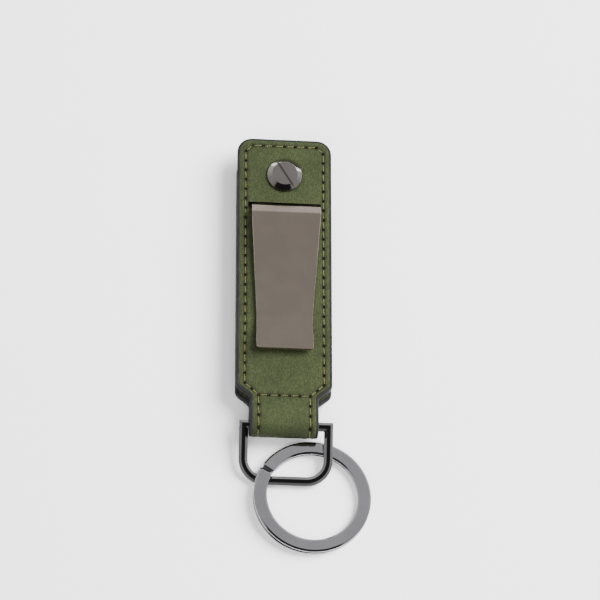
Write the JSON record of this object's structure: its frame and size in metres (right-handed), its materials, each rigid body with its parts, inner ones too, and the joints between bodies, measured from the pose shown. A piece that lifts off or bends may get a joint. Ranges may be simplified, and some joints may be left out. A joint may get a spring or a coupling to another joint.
{
  "type": "keychain with money clip",
  "caption": "Lined leather strap folded round a D-ring, with a bent spring money clip held by a slotted binding screw and a flat split key ring.",
  "frame": {"origin": "on the binding screw's axis, in the plane that the part lies on", "axes": "+Y along the strap towards the binding screw's end, with the rings at -Y; +Z out of the front face, on which the clip lies; +X to the right, seen from the front"},
  "size_m": [0.0358, 0.1172, 0.0091],
  "materials": {
    "leather": "fine grained, satin",
    "lining": "smooth, matt",
    "edge_paint": "glossy black",
    "board": "pressed fibre board",
    "thread": "waxed thread",
    "screw_metal": "polished gunmetal",
    "clip_metal": "finely brushed gunmetal",
    "black_metal": "polished black nickel",
    "ring_metal": "polished nickel"
  },
  "bodies": {
    "strap": {"strap_leather": "leather", "strap_lining": "lining", "edge_paint": "edge_paint", "front_board": "board", "back_board": "board", "front_seam": "thread", "neck_seam": "thread", "back_seam": "thread", "binding_screw": "screw_metal", "binding_post": "screw_metal", "clip_anchor": "clip_metal"},
    "clip_leaf": {"clip_leaf": "clip_metal"},
    "d_ring": {"d_ring": "black_metal"},
    "key_ring": {"key_ring": "ring_metal"}
  },
  "joints": [
    {"name": "clip_flex", "type": "hinge", "parent": "strap", "child": "clip_leaf", "pos_m": [0, -0.0121, 0.0087], "axis": [-1, 0, 0], "range_deg": [0, 8], "stiffness_Nm_per_rad": 0.8, "springref_deg": -5.73},
    {"name": "d_ring_swing", "type": "hinge", "parent": "strap", "child": "d_ring", "pos_m": [0.0007, -0.0724, 0.00455], "axis": [-1, 0, 0], "range_deg": [-90, 90]},
    {"name": "key_ring_swing", "type": "hinge", "parent": "d_ring", "child": "key_ring", "pos_m": [-0.00527, -0.08657, 0.00111], "axis": [-0.9966, 0.0802, 0.0191], "range_deg": [0, 120]}
  ]
}
